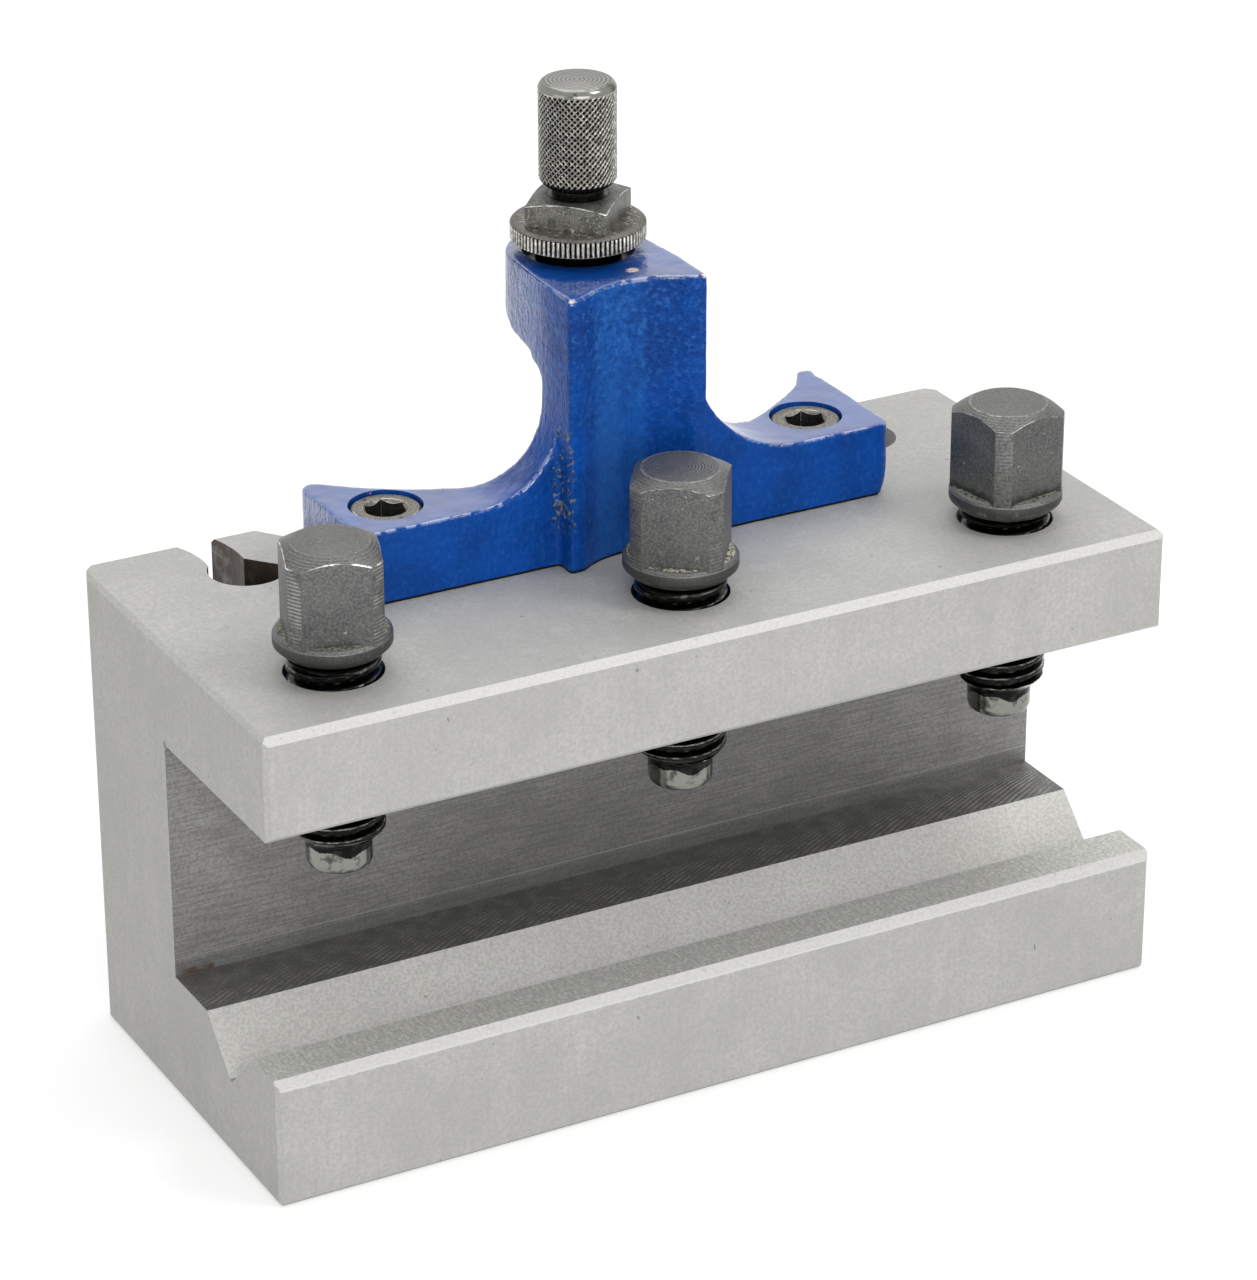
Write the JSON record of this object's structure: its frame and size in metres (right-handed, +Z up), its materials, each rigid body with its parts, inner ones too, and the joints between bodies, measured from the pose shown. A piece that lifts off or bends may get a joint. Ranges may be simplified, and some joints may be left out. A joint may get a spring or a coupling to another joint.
{
  "type": "quick-change lathe tool holder",
  "caption": "Quick-change turning tool holder with a prism slot, square-head clamp screws, a toothed post seat with claw pockets, and a height screw on a bracket.",
  "frame": {"origin": "middle of the base plane of the body, below the middle of its length and depth", "axes": "+X along the clamped tool, +Y from the tool slot to the tool post, +Z up along the clamp screws"},
  "size_m": [0.13, 0.0582, 0.1259],
  "materials": {
    "ground_steel": "ground, satin",
    "blue_paint": "gloss paint on a rough casting",
    "phosphated_steel": "phosphated, satin",
    "cap_screw_steel": "worn black oxide",
    "knurled_steel": "turned and knurled",
    "blackened_steel": "worn black oxide"
  },
  "bodies": {
    "holder": {"body": "ground_steel", "bracket": "blue_paint", "bracket_screw_left": "cap_screw_steel", "bracket_screw_right": "cap_screw_steel"},
    "left_clamp": {"clamp_screw_left": "phosphated_steel"},
    "middle_clamp": {"clamp_screw_middle": "phosphated_steel"},
    "right_clamp": {"clamp_screw_right": "phosphated_steel"},
    "height_adjuster": {"height_screw": "knurled_steel"},
    "height_lock": {"lock_nut": "blackened_steel"}
  },
  "joints": [
    {"name": "left_clamp_travel", "type": "slide", "parent": "holder", "child": "left_clamp", "axis": [0, 0, 1], "range_m": [-0.0026, 0.0125]},
    {"name": "middle_clamp_travel", "type": "slide", "parent": "holder", "child": "middle_clamp", "axis": [0, 0, 1], "range_m": [-0.0026, 0.0125]},
    {"name": "right_clamp_travel", "type": "slide", "parent": "holder", "child": "right_clamp", "axis": [0, 0, 1], "range_m": [-0.0017, 0.0125]},
    {"name": "height_travel", "type": "slide", "parent": "holder", "child": "height_adjuster", "axis": [0, 0, 1], "range_m": [-0.0008, 0.011]},
    {"name": "lock_nut_turn", "type": "hinge", "parent": "holder", "child": "height_lock", "pos_m": [0, 0.0126, 0.1057], "axis": [0, 0, 1], "range_deg": [0, 360]}
  ]
}
